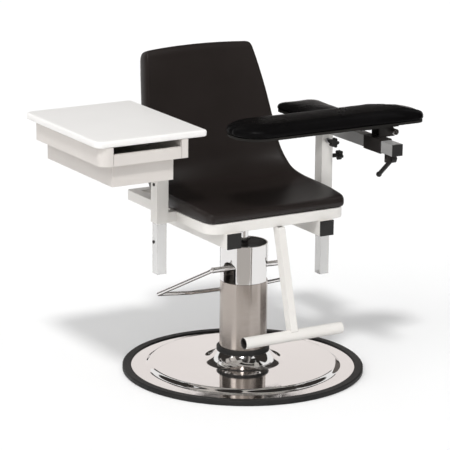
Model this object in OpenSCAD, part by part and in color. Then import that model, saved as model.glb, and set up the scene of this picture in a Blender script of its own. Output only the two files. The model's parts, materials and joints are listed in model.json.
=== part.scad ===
// Blood draw chair on a hydraulic pedestal, with a drawer table and a flip-up front arm.
// Origin at the floor under the column axis, +Z up. The sitter faces -Y, the table is at -X.

/* [Base] */
// Diameter of the base over its rubber rim
base_d = 610; // [570:5:680]
// Width of the rubber rim, seen from above
rim_w = 22; // [16:1:28]
// Height of the rubber rim
rim_h = 13; // [12:0.5:17]
// Distance of the cover's step from the rim's outer edge
step_in = 56; // [54:1:85]
// Height of the flat outer ring of the cover above the floor
ring_h = 12; // [11.5:0.5:14]
// Rise of the step in the cover
step_rise = 10; // [6:0.5:14]
// Diameter at which the bell round the column foot starts
bell_d = 226; // [190:2:260]
// Height of the bell's flat top above the floor
bell_h = 51; // [42:1:60]
// Diameter of the rubber ring at the foot of the column
collar_d = 134; // [128:1:150]
// Height of the rubber ring at the foot of the column
collar_h = 12; // [8:1:20]

/* [Column and pump] */
// Outer diameter of the column tube and the shroud
column_d = 120; // [118:1:124]
// Wall of the column tube and the shroud
column_wall = 3; // [2.5:0.25:3.5]
// Height of the seam between tube and shroud above the floor
seam_h = 235; // [215:1:240]
// Height of the shroud's open top above the floor
shroud_top_h = 332; // [326:1:345]
// Diameter of the pump cylinder
pump_d = 50; // [44:1:54]
// Diameter of the ram
ram_d = 21; // [19:0.5:26]
// Height of the top of the pump head above the floor
head_h = 311; // [300:1:318]
// Travel of the ram
lift_travel = 140; // [80:5:150]

/* [Foot pedal] */
// Diameter of the cross shaft of the pedal
axle_d = 14; // [12:0.5:15]
// Height of the cross shaft above the floor
axle_h = 277; // [272:0.5:280]
// Half of the distance between the elbows of the pedal
elbow_half = 86; // [80:1:100]
// Sideways offset of the whole pedal towards the table
pedal_shift = 7; // [0:1:14]
// Diameter of the bent rod of the pedal
hoop_d = 10; // [8:0.5:12]
// Half of the width of the pedal's foot bar
hoop_half = 178; // [150:1:190]
// Distance of the foot bar behind the column axis
hoop_back = 110; // [104:1:130]
// Height of the ends of the foot bar above the floor
hoop_h = 187; // [180:1:200]
// Sag of the middle of the foot bar
hoop_sag = 7; // [4:1:20]
// Turn of the whole pump about the column axis, in degrees
pump_turn = -5; // [-10:1:0]

/* [Seat frame] */
// Height of the underside of the seat frame above the floor
frame_h = 410; // [402:1:425]
// Width of the seat frame
frame_w = 397; // [380:1:400]
// Distance of the frame's front face ahead of the column axis
frame_fore = 165; // [160:1:168]
// Distance of the frame's rear face behind the column axis
frame_aft = 249; // [240:1:260]
// Side of the frame's square tube
frame_tube = 25.4; // [22:0.2:28]
// Outer corner radius of the bent frame
frame_r = 38; // [32:1:50]
// Radius of its two rear corners, which are welded
frame_back_r = 6; // [4:1:12]
// Side of the two square rails under the frame
rail_side = 38.1; // [32:0.1:40]
// Wall of the square tubes
tube_wall = 2; // [1.6:0.1:2.5]
// Distance of the rails' centre lines from the frame's side faces
rail_in = 65.5; // [56:0.5:72]
// Distance of the rails' front ends ahead of the frame's front face
rail_fore = 7; // [4:1:14]
// Distance of the rails' rear ends ahead of the frame's rear face
rail_short = 59; // [54:1:70]

/* [Seat shell] */
// Width of the seat at its widest
shell_w = 406; // [390:2:410]
// Depth of the shell from its front edge to its rearmost point
shell_depth = 432; // [424:1:440]
// Height of the shell's top edge above its underside
shell_h = 352; // [320:2:400]
// Thickness of the moulding at its middle
shell_t = 24; // [20:0.5:28]
// Greatest hollow of the seat and back across their width
shell_dish = 32; // [20:1:36]
// Extra depth of the thickened side edges
shell_roll = 11; // [6:0.5:12]
// Rise of the middle of the top edge over its corners
shell_arch = 6; // [0:1:12]

/* [Footrest] */
// Width of the strut, sideways
strut_w = 19; // [16:0.5:26]
// Depth of the strut, front to back
strut_deep = 24; // [20:0.5:30]
// Distance of the strut's top behind the frame's front face
strut_setback = 1; // [0:0.5:4]
// Outer diameter of the footrest bar
foot_d = 28.6; // [25:0.2:34]
// Wall of the footrest bar
foot_wall = 1.6; // [1.2:0.1:2.5]
// Length of the footrest bar
foot_l = 280; // [240:5:320]
// Height of the footrest bar's centre above the floor
foot_h = 150; // [120:1:170]
// Distance of the footrest bar ahead of the column axis
foot_fore = 236; // [232:1:260]

/* [Posts] */
// Clear distance between the seat and the two outer sleeves
post_gap = 19.1; // [18:0.1:30]
// Distance of the two posts behind the column axis
post_y = 9; // [0:0.5:14]
// Side of the inner posts
post_side = 25.4; // [22:0.2:26]
// Wall of the outer sleeves
sleeve_wall = 3; // [2.5:0.1:3.5]
// Length of the outer sleeves
sleeve_l = 175; // [165:1:180]
// Length of the inner posts
post_l = 375; // [370:1:390]

/* [Side table] */
// Width of the table top
table_w = 298; // [290:2:320]
// Depth of the table top
table_d = 385; // [380:1:420]
// Thickness of the table top
table_t = 17; // [14:0.5:22]
// Height of the table's top face above the floor
table_h = 672; // [666:1:690]
// Distance of the table's front edge ahead of the posts
table_fore = 157; // [154:1:170]
// Radius of the table top's outer corners
table_r = 22; // [12:1:30]
// Radius of the table top's corners at the chair
table_near_r = 7; // [5:0.5:16]
// Height of the drawer case
case_h = 46; // [42:1:54]
// Depth of the drawer case
case_d = 360; // [340:1:375]
// Width of the drawer case
case_w = 233.5; // [222:0.5:236]
// Depth of the drawer's tub below the case
tub_drop = 54; // [30:1:70]
// Height of the drawer's front panel
front_h = 28; // [22:1:32]

/* [Arm] */
// Side of the square bar
bar_side = 28.6; // [25.4:0.2:29]
// Height of the bar's underside above the floor
bar_h = 592; // [590:1:600]
// Distance of the bar's front end ahead of the posts
bar_fore = 317; // [315:1:330]
// Distance of the bar's rear end behind the posts
bar_aft = 125; // [100:1:140]
// Length of the black slider on the bar
slider_l = 73; // [66:1:76]
// Wall of the slider
slider_wall = 2.4; // [2:0.1:3]
// Distance of the slider's front end ahead of the posts
slider_fore = 269; // [266:1:272]
// Sideways offset of the flip hinge from the bar's centre line
hinge_out = 33; // [32:0.5:36]
// Height of the flip hinge's axis above the slider
hinge_rise = 14; // [12:0.5:16]
// Length of the flip pad
pad_l = 524; // [490:2:530]
// Width of the flip pad
pad_w = 144; // [142:1:150]
// Height of the flip pad's cushion
pad_t = 27; // [22:1:36]
// Length of the flip pad outboard of the hinge axis
pad_out = 101; // [92:1:106]
// Length of the side armrest
rest_l = 203; // [160:1:206]
// Width of the side armrest
rest_w = 130; // [100:2:134]
// Height of the side armrest's cushion
rest_t = 18; // [12:1:22]
// Diameter of the star knobs
knob_d = 25; // [20:1:30]

/* [Hidden] */

// Clearances and overruns
run_gap = 0.05;
slide_gap = 0.2;
soft_gap = 0.3;
cut_over = 1;
round_fn = 96;
small_fn = 32;

// Base
rim_r = base_d / 2;
rim_lip = 3;
rim_chamfer = 2.5;
cover_sheet = 1.5;
rim_grip = 7;
cover_edge_z = rim_h - rim_lip;
cover_r = rim_r - rim_w + rim_grip;
step_r = rim_r - step_in;
rim_foot_w = 3;
weight_gap = 3;
weight_pad_d = 130;
weight_r = rim_r - rim_w - rim_foot_w;
step_slope = 16;
plate_top_z = ring_h + step_rise - cover_sheet;
plate_low_z = cover_edge_z - cover_sheet;
plate_inset = 8;
flange_t = 8;
flange_w = 22;
bolt_d = 10;
bolt_head_d = 17;
bolt_head_h = 6;
bolt_count = 6;

// Column and pump
column_r = column_d / 2;
column_in_r = column_r - column_wall;
seam_gap = 0.5;
thrust_t = 10;
bush_h = 12;
pump_z = plate_top_z + flange_t + thrust_t;
head_t = 15;
head_z = head_h - head_t;
ram_r = ram_d / 2;
gland_w = 7;
gland_h = 5.5;
ram_guide = 56;
ram_z = head_z - lift_travel - ram_guide;
axle_clear = 1;
axle_fore = pump_d / 2 + axle_d / 2 + axle_clear;
lug_x = 10;
lug_t = 12;
lug_fore = 9.5;
lug_half_h = 10.5;
slot_clear = 2;
slot_w = 35;
slot_out = axle_fore + axle_d / 2 + slot_clear;
slot_rise = 13;

// Seat frame
frame_top = frame_h + frame_tube;
rail_z = frame_h - rail_side;
rail_y = -frame_fore - rail_fore;
rail_l = rail_fore + frame_fore + frame_aft - rail_short;
rail_pitch = frame_w - 2 * rail_in;
cap_t = 4;
cap_plug = 14;
plate_t = 8;
plate_half_y = 80;
hub_d = 60;
shell_lift = 0.3;
shell_y = -frame_fore;
shell_z = frame_top + shell_lift;
screw_d = 6;
screw_head_d = 12;
screw_head_h = 3.5;

// Posts
sleeve_in = post_side + 2 * slide_gap;
sleeve_out = sleeve_in + 2 * sleeve_wall;
post_x = max(frame_w, shell_w) / 2 + post_gap + sleeve_out / 2;
stub_side = frame_tube;
sleeve_z = frame_h;
sleeve_top = sleeve_z + sleeve_l;
left_post_z = table_h - table_t - post_l;
right_post_z = bar_h - post_l;
spot_d = 8;
spot_t = 2;
spot_drop = 78;
stop_drop = 50;
boss_d = 13;
boss_h = 6;
stud_d = 6;
front_knob_drop = 17;
side_knob_drop = 63;
knob_h = 11;
knob_reach = 19;

// Side table
board_z = table_h - table_t;
board_over = 38;
board_x = -post_x + board_over;
case_gap = 1.5;
case_x = -post_x - post_side / 2 - case_gap;
case_setback = 2;
case_front = -table_fore + case_setback;
case_left_w = 32;
case_right_w = 17;
case_back_w = 4;
case_skin = 3;
case_r = 26;
case_z = board_z - case_h;
drawer_gap = 1;
runner_w = 4;
runner_t = 4;
flange_gap = 0.3;
tub_wall = 2.5;
tub_side_gap = 1;
tub_inner_room = 9;
tub_setback = 17;
tub_rear_gap = 3;
tub_z = case_z - tub_drop;
lip_t = 3;
lip_w = 9;
bay_x0 = case_x - case_w + case_left_w;
bay_x1 = case_x - case_right_w;
bracket_half = 38;
bracket_t = 5;
bracket_out = 26;

// Arm
bar_top = bar_h + bar_side;
block_in = bar_side + 2 * slide_gap;
block_out = block_in + 2 * slider_wall;
block_z = bar_h - slide_gap - slider_wall;
block_top = block_z + block_out;
block_y = -slider_fore;
cheek_t = 6;
cheek_gap = 2;
cheek_len = 9;
cheek_drop = 25;
clamp_drop = 18;
hub_w = 13;
hub_clamp_d = 20;
lever_l = 70;
lever_d = 11;
lever_tip_d = 14;
lever_tilt = 45;
lever_lean = 6;
base_plate_t = 4;
ear_t = 5;
ear_r = 9.2;
bracket_y = -244;
bracket_l = 36;
bracket_w = 44;
pin_d = 8;
pin_head_d = 15;
pin_head_l = 12;
pin_shank = 8;
hinge_x = post_x + hinge_out;
hinge_z = block_top + hinge_rise;
knuckle_rise = 9.5;
knuckle_half = 8.5;
pad_plate_t = 3.5;
pad_plate_w = 44;
pad_plate_l = 110;
plate_lead = 18;
flip_board_t = 6;
board_inset = 4;
pad_r = [30, 102, 64, 68];
pad_y = -257;
pad_z = hinge_z + knuckle_rise + pad_plate_t + flip_board_t;
pad_x = hinge_x + pad_out - pad_l;
rest_board_t = 6;
rest_y = -45;
rest_r = 32;
rest_z = bar_top + rest_board_t;

// Shared shapes

// Square tube along Z, its outer corner at the origin
module square_tube(side, wall, len) {
    difference() {
        cube([side, side, len]);
        translate([wall, wall, -cut_over])
            cube([side - 2 * wall, side - 2 * wall, len + 2 * cut_over]);
    }
}

// Square tube along Y, its front lower left corner at the origin
module beam_y(side, wall, len) {
    translate([0, len, 0]) rotate([90, 0, 0]) square_tube(side, wall, len);
}

// Corner radii in the order front right, rear right, rear left, front left
function four(r) = is_list(r) ? r : [r, r, r, r];

// Plane rectangle with round corners, its lower left corner at the origin
module round_rect(w, d, radius) {
    r = four(radius);
    polygon([[r[3], 0], [w - r[0], 0], [w, r[0]], [w, d - r[1]], [w - r[1], d], [r[2], d], [0, d - r[2]],
        [0, r[3]]]);
    centres = [[w - r[0], r[0]], [w - r[1], d - r[1]], [r[2], d - r[2]], [r[3], r[3]]];
    for (k = [0 : 3]) translate(centres[k]) rotate(90 * (k - 1)) intersection() {
        circle(r[k], $fn = round_fn);
        square(r[k]);
    }
}

// Round bar between two points
module rod(a, b, d) {
    v = b - a;
    len = norm(v);
    translate(a)
        rotate([0, acos(v[2] / len), atan2(v[1], v[0])])
            cylinder(h = len, d = d, $fn = small_fn);
}

// Star knob that grows along +Z from its flat back, five round lobes on a boss
module star_knob() {
    lobe_d = knob_d * 0.34;
    ring_r = knob_d / 2 - lobe_d / 2;
    linear_extrude(knob_h) union() {
        for (k = [0 : 4])
            rotate([0, 0, 72 * k]) translate([ring_r, 0]) circle(d = lobe_d, $fn = small_fn);
        circle(d = knob_d * 0.68, $fn = small_fn);
    }
    translate([0, 0, -knob_reach + boss_h]) cylinder(h = knob_reach, d = knob_d * 0.42, $fn = small_fn);
}

// Catmull-Rom value between rows i and i + 1 of a table
function row_at(t, i) = t[max(0, min(len(t) - 1, i))];
function blend4(a, b, c, d, u) =
    0.5 * (2 * b + (c - a) * u + (2 * a - 5 * b + 4 * c - d) * u * u
        + (3 * b - a - 3 * c + d) * u * u * u);
function smooth_row(t, s) = let (i = floor(min(s, len(t) - 1.0001)), u = s - i)
    blend4(row_at(t, i - 1), row_at(t, i), row_at(t, i + 1), row_at(t, i + 2), u);

// Triangles that close one end ring of n points: each point is tied to its mirror point, and
// the numbers of two mirror points add up to the given sum
function end_cap(n, mirror_sum) = let (last = floor(mirror_sum / 2), first = last - n / 2)
    [for (i = [first : last - 1], half = [0, 1])
        let (a = (i + n) % n, b = (i + 1 + n) % n, p = (mirror_sum - i - 1 + n) % n,
            q = (mirror_sum - i + n) % n, t = half == 0 ? [a, b, q] : [b, p, q])
            if (t[0] != t[1] && t[1] != t[2] && t[0] != t[2]) t];

// Closed skin over a stack of rings that all have n points
module ring_skin(rings, mirror_sum) {
    n = len(rings[0]);
    m = len(rings);
    points = [for (r = rings) each r];
    sides = [for (i = [0 : m - 2], j = [0 : n - 1], half = [0, 1])
        let (a = i * n + j, b = i * n + (j + 1) % n, c = a + n, d = b + n)
            half == 0 ? [a, c, d] : [a, d, b]];
    low = end_cap(n, mirror_sum);
    top = let (o = (m - 1) * n) [for (t = low) [o + t[0], o + t[2], o + t[1]]];
    polyhedron(points, concat(sides, low, top), convexity = 6);
}

// Plan outline of a pad, its sides drawn in between the corners
corner_steps = 7;
side_steps = 6;
function corner_arc(cx, cy, r, a0) =
    [for (k = [0 : corner_steps]) let (a = a0 + 90 * k / corner_steps) [cx + r * cos(a), cy + r * sin(a)]];
function side_run(p, q, pull, nx, ny) =
    [for (k = [1 : side_steps - 1]) let (u = k / side_steps, s = sin(180 * u))
        [p[0] + (q[0] - p[0]) * u - nx * pull * s, p[1] + (q[1] - p[1]) * u - ny * pull * s]];
function pad_outline(w, d, radius, inset, pull) =
    let (r = four(radius), q = [for (c = r) max(c - inset, c * 0.12)], e = [for (c = q) inset + c])
    concat(
        corner_arc(w - e[0], e[0], q[0], -90), side_run([w - inset, e[0]], [w - inset, d - e[1]], pull, 1, 0),
        corner_arc(w - e[1], d - e[1], q[1], 0),
        side_run([w - e[1], d - inset], [e[2], d - inset], pull, 0, 1),
        corner_arc(e[2], d - e[2], q[2], 90), side_run([inset, d - e[2]], [inset, e[3]], pull, -1, 0),
        corner_arc(e[3], e[3], q[3], 180), side_run([e[3], inset], [w - e[0], inset], pull, 0, -1));

// Upholstered pad: flat underside, swelling sides and a crowned top
// Each row holds the inset as a share of the half width and the height as a share of the pad's
pad_ring_shares = [[0.06, 0], [0.02, 0.06], [0, 0.23], [0, 0.43], [0.02, 0.61], [0.065, 0.76],
    [0.15, 0.87], [0.26, 0.94], [0.38, 0.98], [0.5, 1]];
module cushion(w, d, r, t, pull) {
    ring_skin([for (s = pad_ring_shares)
        let (o = pad_outline(w, d, r, s[0] * d / 2, pull * (1 - s[0])))
            [for (p = o) [p[0], p[1], s[1] * t]]],
        2 * corner_steps + side_steps);
}

// Base

module base_cover() color("silver") {
    bell_r = bell_d / 2;
    plateau_z = ring_h + step_rise;
    bell_foot_z = plateau_z + 3 * cover_sheet;
    neck_r = collar_d / 2;
    outer = concat(
        [[cover_r, cover_edge_z], [rim_r - rim_w, cover_edge_z]],
        [for (k = [0 : 6]) let (u = k / 6)
            [step_r - step_slope * u, ring_h + step_rise * (1 - cos(180 * u)) / 2]],
        [for (k = [0 : 8]) let (u = k / 8)
            [bell_r + (neck_r - bell_r) * u, bell_foot_z + (bell_h - bell_foot_z) * pow(u, 2.4)]],
        [[column_r + run_gap, bell_h]]);
    inner = [for (k = [len(outer) - 1 : -1 : 0]) [outer[k][0], outer[k][1] - cover_sheet]];
    rotate_extrude($fn = round_fn) polygon(concat(outer, inner));
}

module base_rim() color([0.1, 0.1, 0.1]) {
    in_r = rim_r - rim_w;
    rotate_extrude($fn = round_fn) polygon([
        [weight_r, 0], [rim_r - rim_chamfer, 0], [rim_r, rim_chamfer], [rim_r, rim_h - rim_chamfer],
        [rim_r - rim_chamfer, rim_h], [in_r + rim_chamfer, rim_h], [in_r, rim_h - rim_lip / 2],
        [in_r, cover_edge_z], [cover_r, cover_edge_z], [cover_r, plate_low_z], [weight_r, plate_low_z]]);
}

module base_weight() color([0.25, 0.25, 0.26]) {
    top_r = step_r - step_slope - plate_inset / 2;
    ledge_z = ring_h - cover_sheet - weight_gap / 2;
    difference() {
        rotate_extrude($fn = round_fn) polygon([
            [0, 0], [weight_pad_d / 2, 0], [weight_pad_d / 2 + weight_gap, weight_gap],
            [weight_r, weight_gap], [weight_r, plate_low_z], [step_r - plate_inset / 2, plate_low_z],
            [top_r, ledge_z], [top_r, plate_top_z], [0, plate_top_z]]);
        bolt_ring() {
            translate([0, 0, -cut_over]) cylinder(h = plate_top_z + 2 * cut_over, d = bolt_d, $fn = small_fn);
            translate([0, 0, -cut_over])
                cylinder(h = weight_gap + bolt_head_h + cut_over, d = bolt_head_d, $fn = small_fn);
        }
    }
}

module bolt_ring() {
    for (k = [0 : bolt_count - 1])
        rotate([0, 0, 360 * k / bolt_count + 30])
            translate([column_in_r - flange_w / 2, 0, 0]) children();
}

module base_bolts() color([0.55, 0.55, 0.57]) bolt_ring() {
    translate([0, 0, weight_gap]) cylinder(h = bolt_head_h, d = bolt_head_d, $fn = small_fn);
    translate([0, 0, weight_gap])
        cylinder(h = plate_top_z + flange_t - weight_gap, d = bolt_d, $fn = small_fn);
}

module base_collar() color([0.12, 0.12, 0.12]) {
    soft_r = collar_h / 4;
    translate([0, 0, bell_h]) rotate_extrude($fn = round_fn) polygon([
        [column_r, 0], [collar_d / 2, 0], [collar_d / 2, collar_h - soft_r],
        [collar_d / 2 - soft_r, collar_h], [column_r, collar_h]]);
}

module column_tube() color([0.72, 0.69, 0.66]) difference() {
    union() {
        translate([0, 0, plate_top_z]) difference() {
            cylinder(h = seam_h - plate_top_z, r = column_r, $fn = round_fn);
            translate([0, 0, -cut_over])
                cylinder(h = seam_h - plate_top_z + 2 * cut_over, r = column_in_r, $fn = round_fn);
        }
        translate([0, 0, plate_top_z]) difference() {
            cylinder(h = flange_t, r = column_in_r + column_wall / 2, $fn = round_fn);
            translate([0, 0, -cut_over])
                cylinder(h = flange_t + 2 * cut_over, r = column_in_r - flange_w, $fn = round_fn);
        }
    }
    bolt_ring() cylinder(h = plate_top_z + flange_t + cut_over, d = bolt_d, $fn = small_fn);
}

module thrust_ring() color([0.7, 0.6, 0.35]) translate([0, 0, plate_top_z]) difference() {
    cylinder(h = flange_t + thrust_t, r = column_in_r - flange_w, $fn = round_fn);
    translate([0, 0, flange_t]) cylinder(h = thrust_t + cut_over, d = pump_d / 2, $fn = round_fn);
}

module guide_bush() color([0.7, 0.55, 0.3]) {
    translate([0, 0, seam_h - bush_h - seam_gap]) difference() {
        cylinder(h = bush_h, r = column_in_r, $fn = round_fn);
        translate([0, 0, -cut_over])
            cylinder(h = bush_h + 2 * cut_over, r = pump_d / 2 + run_gap, $fn = round_fn);
    }
}

// Pump, turned a little about the column axis

module turned() rotate([0, 0, pump_turn]) children();

module pump_cylinder() color([0.35, 0.35, 0.37]) turned() difference() {
    union() {
        translate([0, 0, pump_z + run_gap])
            cylinder(h = head_z - pump_z - run_gap, d = pump_d, $fn = round_fn);
        for (x = [lug_x, -lug_x - lug_t])
            translate([x, -axle_fore - lug_fore, axle_h - lug_half_h])
                cube([lug_t, axle_fore, 2 * lug_half_h]);
    }
    translate([0, 0, ram_z])
        cylinder(h = head_h, r = ram_r + run_gap, $fn = small_fn);
    translate([-column_r, -axle_fore, axle_h]) rotate([0, 90, 0])
        cylinder(h = column_d, d = axle_d + 2 * run_gap, $fn = small_fn);
}

module pump_head() color([0.16, 0.16, 0.17]) turned() translate([0, 0, head_z]) difference() {
    cylinder(h = head_t, r = column_in_r, $fn = round_fn);
    translate([0, 0, -cut_over])
        cylinder(h = head_t + 2 * cut_over, r = ram_r + run_gap, $fn = small_fn);
}

module gland_ring() color([0.5, 0.5, 0.5]) turned() translate([0, 0, head_h]) difference() {
    cylinder(h = gland_h, r = ram_r + gland_w, $fn = small_fn);
    translate([0, 0, -cut_over])
        cylinder(h = gland_h + 2 * cut_over, r = ram_r + run_gap, $fn = small_fn);
}

module column_shroud() color([0.86, 0.86, 0.87]) turned() difference() {
    translate([0, 0, seam_h + seam_gap])
        cylinder(h = shroud_top_h - seam_h - seam_gap, r = column_r, $fn = round_fn);
    translate([0, 0, seam_h])
        cylinder(h = shroud_top_h, r = column_in_r, $fn = round_fn);
    translate([-column_d, -slot_out, seam_h - cut_over])
        cube([2 * column_d, slot_w, axle_h + slot_rise - slot_w / 2 - seam_h + cut_over]);
    translate([-column_d, -slot_out + slot_w / 2, axle_h + slot_rise - slot_w / 2])
        rotate([0, 90, 0]) cylinder(h = 2 * column_d, d = slot_w, $fn = small_fn);
}

module pump_axle() color([0.85, 0.85, 0.86]) turned()
    translate([-pedal_shift - elbow_half, -axle_fore, axle_h]) rotate([0, 90, 0])
        cylinder(h = 2 * elbow_half, d = axle_d, $fn = small_fn);

module pump_hoop() color([0.85, 0.85, 0.86]) turned() translate([-pedal_shift, 0, 0]) {
    sag_half = hoop_half * 0.5;
    out = axle_d * 0.58;
    route = [
        [-elbow_half - out, -axle_fore, axle_h], [-hoop_half, hoop_back, hoop_h],
        [-sag_half, hoop_back, hoop_h - hoop_sag], [sag_half, hoop_back, hoop_h - hoop_sag],
        [hoop_half, hoop_back, hoop_h], [elbow_half + out, -axle_fore, axle_h]];
    for (k = [0 : len(route) - 2]) rod(route[k], route[k + 1], hoop_d);
    for (k = [1 : len(route) - 2]) translate(route[k]) sphere(d = hoop_d * 1.06, $fn = small_fn);
    for (s = [-1, 1]) translate([s * (elbow_half + out), -axle_fore, axle_h]) {
        sphere(d = axle_d * 1.06, $fn = small_fn);
        rotate([0, -90 * s, 0]) cylinder(h = out, d = axle_d, $fn = small_fn);
    }
}

module ram() color([0.88, 0.88, 0.9])
    translate([0, 0, ram_z]) cylinder(h = frame_h - plate_t - ram_z, r = ram_r, $fn = small_fn);

// Seat

module seat_hub() color([0.2, 0.2, 0.2]) translate([0, 0, rail_z]) difference() {
    cylinder(h = rail_side - plate_t, d = hub_d, $fn = round_fn);
    translate([0, 0, -cut_over])
        cylinder(h = rail_side + cut_over, r = ram_r, $fn = small_fn);
}

module seat_plate() color([0.9, 0.88, 0.84]) {
    half = rail_pitch / 2 - rail_side / 2;
    translate([-half, -plate_half_y, frame_h - plate_t]) cube([2 * half, 2 * plate_half_y, plate_t]);
}

module rail_at(side) {
    translate([side * rail_pitch / 2 - rail_side / 2, rail_y, rail_z]) beam_y(rail_side, tube_wall, rail_l);
}

module left_rail() color([0.93, 0.91, 0.88]) rail_at(-1);
module right_rail() color([0.93, 0.91, 0.88]) rail_at(1);

module rail_caps() color([0.13, 0.13, 0.13]) {
    inner = rail_side - 2 * tube_wall;
    for (side = [-1, 1]) translate([side * rail_pitch / 2, 0, rail_z + rail_side / 2]) {
        for (end = [0, 1]) translate([0, rail_y + end * rail_l, 0]) mirror([0, end, 0]) {
            translate([-rail_side / 2, -cap_t, -rail_side / 2]) cube([rail_side, cap_t, rail_side]);
            translate([-inner / 2, -cap_t / 2, -inner / 2]) cube([inner, cap_plug, inner]);
        }
    }
}

module seat_frame() color([0.93, 0.91, 0.88]) translate([-frame_w / 2, -frame_fore, frame_h]) {
    depth = frame_fore + frame_aft;
    corners = [frame_r, frame_back_r, frame_back_r, frame_r];
    difference() {
        linear_extrude(frame_tube) round_rect(frame_w, depth, corners);
        translate([frame_w / 2, frame_fore, -frame_h]) seat_screw_places() screw_shaft(frame_tube);
        translate([frame_tube, frame_tube, -cut_over]) linear_extrude(frame_tube + 2 * cut_over)
            round_rect(frame_w - 2 * frame_tube, depth - 2 * frame_tube,
                [for (c = corners) max(c - frame_tube, frame_back_r / 2)]);
    }
    translate([frame_tube / 2, depth - rail_short - frame_tube, 0])
        cube([frame_w - frame_tube, frame_tube, frame_tube]);
}

// Rows along the middle of the moulding, from the front edge to the top edge: depth and height
// as shares of the shell's, half width, thickness, hollow and thickened edge as shares of theirs
shell_shares = [
    [0, 0.033, 0.9, 0.36, 0, 0], [0.006, 0.033, 0.93, 0.72, 0.04, 0.3],
    [0.025, 0.034, 0.955, 0.94, 0.1, 0.8], [0.069, 0.034, 0.975, 1, 0.18, 1],
    [0.212, 0.034, 0.995, 1, 0.32, 1], [0.375, 0.034, 1, 1, 0.38, 1],
    [0.511, 0.036, 0.993, 1.02, 0.46, 1.15], [0.625, 0.05, 0.98, 1.08, 0.62, 1.75],
    [0.712, 0.095, 0.96, 1.12, 0.86, 2.4], [0.779, 0.17, 0.94, 1.12, 1, 2.6],
    [0.823, 0.28, 0.92, 1.12, 0.95, 2.2], [0.862, 0.44, 0.896, 1.12, 0.82, 1.9],
    [0.905, 0.62, 0.863, 1.12, 0.7, 1.7], [0.951, 0.79, 0.819, 1.12, 0.62, 1.6],
    [0.983, 0.905, 0.785, 1.12, 0.54, 1.4], [0.9935, 0.957, 0.769, 1.1, 0.46, 1.1],
    [0.998, 0.985, 0.745, 0.9, 0.4, 0.6], [1, 0.996, 0.695, 0.5, 0.36, 0.2]];
shell_steps = 27;
shell_across = 16;
function shell_row(s) = smooth_row(shell_shares, s * (len(shell_shares) - 1));
function shell_mid(r) = [r[0] * (shell_depth - shell_t / 2), r[1] * shell_h];
function shell_tangent(s) = let (e = 0.004,
    a = shell_mid(shell_row(max(0, s - e))), b = shell_mid(shell_row(min(1, s + e))), v = b - a) v / norm(v);
function shell_ring(s) =
    let (r = shell_row(s), m = shell_mid(r), t = shell_tangent(s), n = [-t[1], t[0]],
        half = r[2] * shell_w / 2, thick = r[3] * shell_t, dish = r[4] * shell_dish,
        under = max(0, dish - r[5] * shell_roll),
        at = function (u, bend, off)
            let (d = bend * pow(abs(u), 2.4) + off, a = shell_arch * pow(s, 12) * (1 - u * u))
                [half * u, m[0] + n[0] * d + t[0] * a, m[1] + n[1] * d + t[1] * a])
    concat(
        [for (k = [0 : shell_across]) at(0.965 * (-1 + 2 * k / shell_across), dish, thick / 2)],
        [at(0.988, dish, thick * 0.4), at(1, dish, thick * 0.12), at(1, under, -thick * 0.12),
            at(0.988, under, -thick * 0.4)],
        [for (k = [shell_across : -1 : 0]) at(0.965 * (-1 + 2 * k / shell_across), under, -thick / 2)],
        [at(-0.988, under, -thick * 0.4), at(-1, under, -thick * 0.12), at(-1, dish, thick * 0.12),
            at(-0.988, dish, thick * 0.4)]);

module seat_shell() color([0.15, 0.14, 0.13])
    translate([0, shell_y, shell_z]) ring_skin([for (k = [0 : shell_steps]) shell_ring(k / shell_steps)],
        2 * shell_across + 5);

// Screws under the frame: two through its front tube, two through its sides
module seat_screw_places() {
    inset = frame_tube / 2;
    for (x = [-1, 1] * (frame_w / 4)) translate([x, -frame_fore + inset, frame_h]) children();
    for (x = [-1, 1] * (frame_w / 2 - inset)) translate([x, frame_fore / 3, frame_h]) children();
}

module screw_shaft(len) cylinder(h = len, d = screw_d, $fn = small_fn);

module screw_head() translate([0, 0, -screw_head_h])
    cylinder(h = screw_head_h, d = screw_head_d, $fn = small_fn);

module seat_screws() color([0.7, 0.7, 0.7]) seat_screw_places() {
    screw_head();
    screw_shaft(frame_tube);
}

// Footrest

module footrest_strut() color([0.93, 0.91, 0.88]) {
    top_y = -frame_fore + strut_setback;
    bottom_y = -foot_fore;
    run = top_y - bottom_y;
    drop = frame_h - foot_h;
    half = strut_deep / 2 * norm([run, drop]) / drop;
    hollow = half - tube_wall;
    difference() {
        translate([-strut_w / 2, 0, 0]) rotate([90, 0, 90]) linear_extrude(strut_w)
            polygon([[top_y - half, frame_h], [top_y + half, frame_h],
                [bottom_y + half, foot_h], [bottom_y - half, foot_h]]);
        translate([-strut_w / 2 + tube_wall, 0, 0]) rotate([90, 0, 90])
            linear_extrude(strut_w - 2 * tube_wall) polygon([
                [top_y - hollow, frame_h], [top_y + hollow, frame_h],
                [bottom_y + hollow, foot_h], [bottom_y - hollow, foot_h]]);
        translate([-foot_l / 2, -foot_fore, foot_h]) rotate([0, 90, 0])
            cylinder(h = foot_l, d = foot_d, $fn = round_fn);
    }
}

module footrest_bar() color([0.95, 0.94, 0.91])
    translate([-foot_l / 2, -foot_fore, foot_h]) rotate([0, 90, 0]) difference() {
        cylinder(h = foot_l, d = foot_d, $fn = round_fn);
        translate([0, 0, -cut_over])
            cylinder(h = foot_l + 2 * cut_over, d = foot_d - 2 * foot_wall, $fn = round_fn);
    }

// Sleeves and knobs

module sleeve_at(side) {
    stub = post_x - sleeve_out / 2 + sleeve_wall / 2 - frame_w / 2;
    translate([side * post_x - sleeve_out / 2, post_y - sleeve_out / 2, sleeve_z])
        square_tube(sleeve_out, sleeve_wall, sleeve_l);
    translate([side * (frame_w / 2 + stub / 2) - stub / 2, post_y - stub_side / 2, frame_h])
        cube([stub, stub_side, stub_side]);
}

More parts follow.
